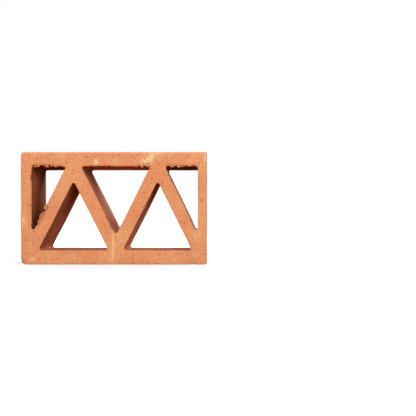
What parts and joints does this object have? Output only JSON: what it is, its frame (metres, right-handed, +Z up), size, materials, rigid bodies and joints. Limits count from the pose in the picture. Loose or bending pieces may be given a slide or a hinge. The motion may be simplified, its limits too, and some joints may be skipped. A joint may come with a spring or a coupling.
{
  "type": "breeze block",
  "caption": "Terracotta breeze block: an extruded clay frame with a zigzag web that leaves triangular openings for air and light in a screen wall.",
  "frame": {"origin": "middle of the lower bed face", "axes": "+X along the wall, +Y through the wall from the front cut face to the back one, +Z up"},
  "size_m": [0.2, 0.08, 0.121],
  "materials": {
    "terracotta": "matte unglazed terracotta, wire-cut faces"
  },
  "bodies": {
    "root": {"breeze_block": "terracotta"}
  },
  "joints": []
}
